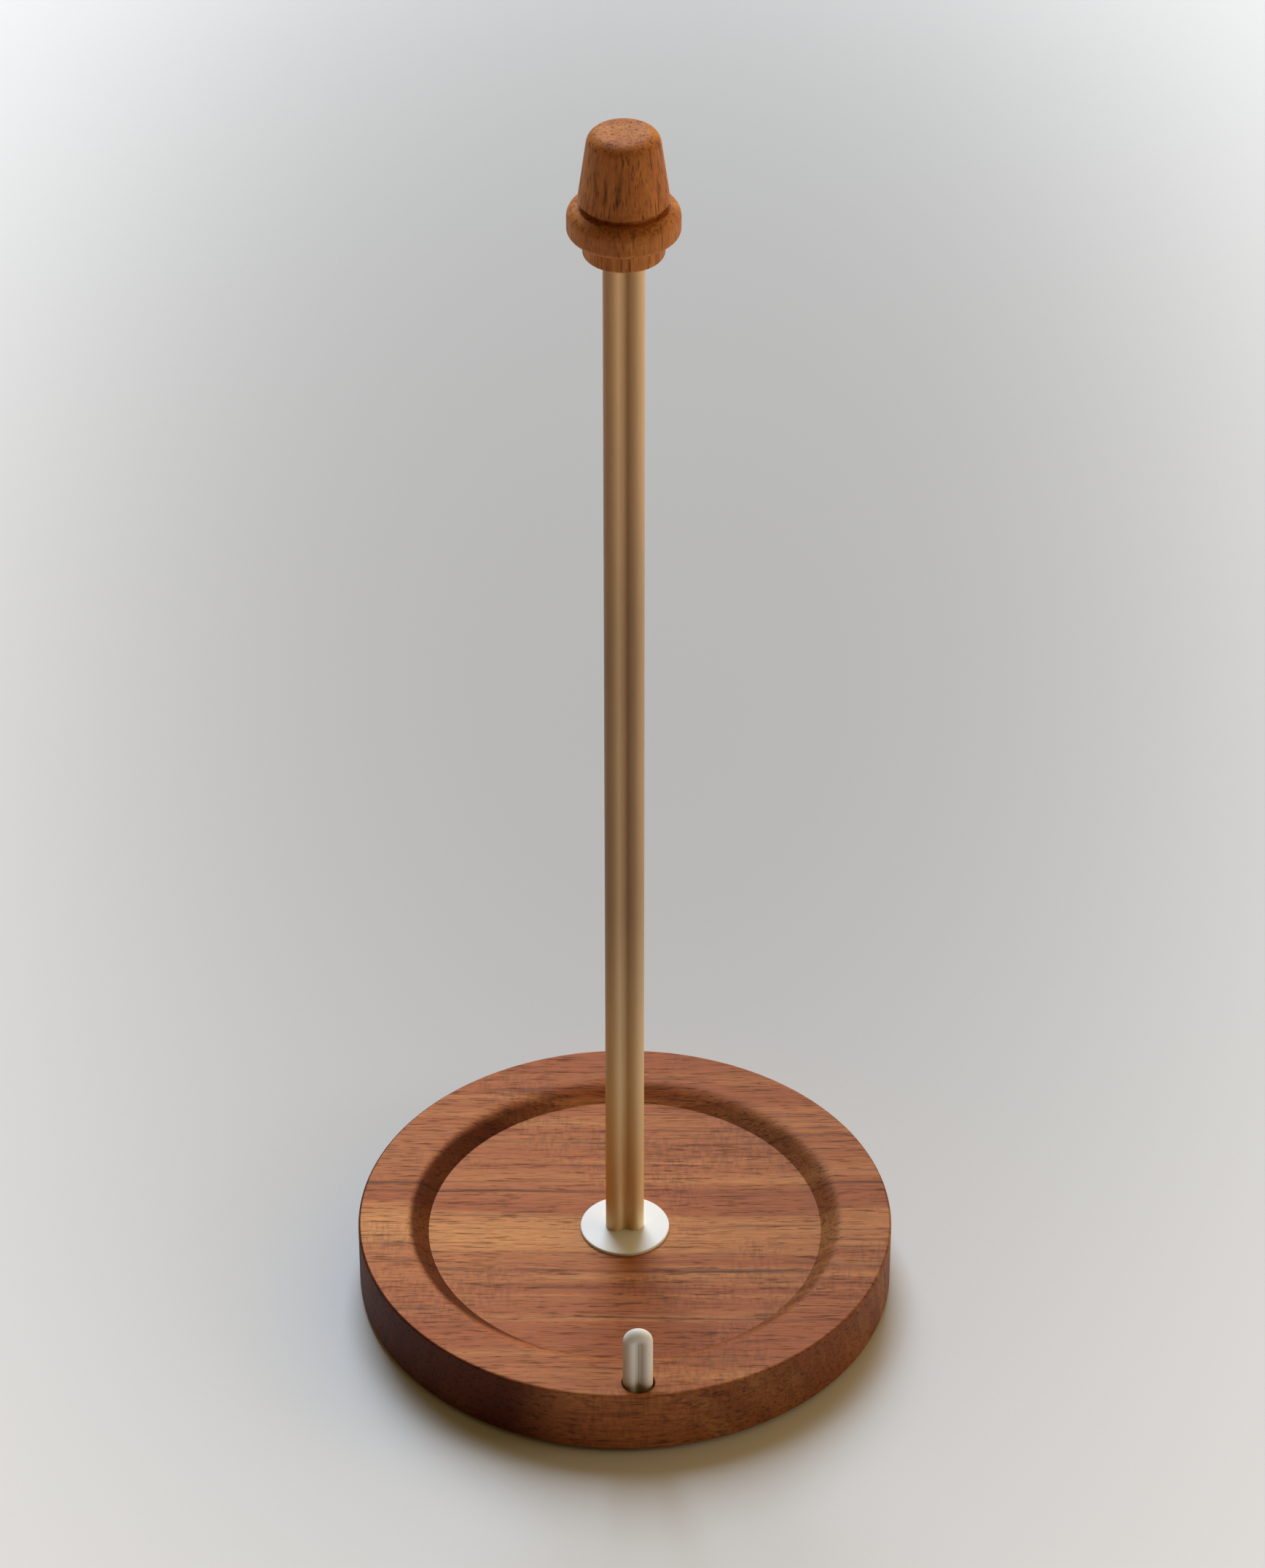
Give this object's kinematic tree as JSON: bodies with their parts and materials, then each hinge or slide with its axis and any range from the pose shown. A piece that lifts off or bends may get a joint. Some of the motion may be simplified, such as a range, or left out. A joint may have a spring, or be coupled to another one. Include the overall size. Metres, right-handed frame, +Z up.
{
  "type": "paper towel holder",
  "caption": "Free-standing paper towel holder: dished round hardwood base, slim post of doubled brass-coloured wire, turned wooden knob and a short white hairpin peg at the rim.",
  "frame": {"origin": "on the post's axis, on the surface that the feet stand on", "axes": "+Z up along the post; the stop peg is at the front, on -Y; +X to the right seen from the front"},
  "size_m": [0.146, 0.146, 0.3589],
  "materials": {
    "base_wood": "oiled, satin",
    "knob_wood": "oiled, satin",
    "satin_brass": "satin, lacquered",
    "satin_white_enamel": "satin white enamel",
    "plated_steel": "zinc plated",
    "insert_brass": "as turned",
    "foot_rubber": "matt"
  },
  "bodies": {
    "stand": {"base": "base_wood", "post_flange": "satin_white_enamel", "flange_boss": "plated_steel", "post_wire": "satin_brass", "top_sleeve": "plated_steel", "base_screw": "plated_steel", "flat_washer": "plated_steel", "spring_washer": "plated_steel", "foot_front_left": "foot_rubber", "foot_front_right": "foot_rubber", "foot_back_left": "foot_rubber", "foot_back_right": "foot_rubber"},
    "knob_stud": {"knob_stud": "plated_steel"},
    "knob": {"knob": "knob_wood", "knob_insert": "insert_brass"},
    "stop_peg": {"stop_peg": "satin_white_enamel"}
  },
  "joints": [
    {"name": "knob_rise", "type": "slide", "parent": "stand", "child": "knob_stud", "axis": [0, 0, 1], "range_m": [0, 0.007]},
    {"name": "knob_turn", "type": "hinge", "parent": "knob_stud", "child": "knob", "pos_m": [0, 0, 0.3404], "axis": [0, 0, 1], "range_deg": [0, 2520]},
    {"name": "peg_lift", "type": "slide", "parent": "stand", "child": "stop_peg", "axis": [0, 0, 1], "range_m": [0, 0.0125]}
  ],
  "couplings": [
    {"joint": "knob_rise", "follows": "knob_turn", "m_per_rad": 0.00015915}
  ]
}
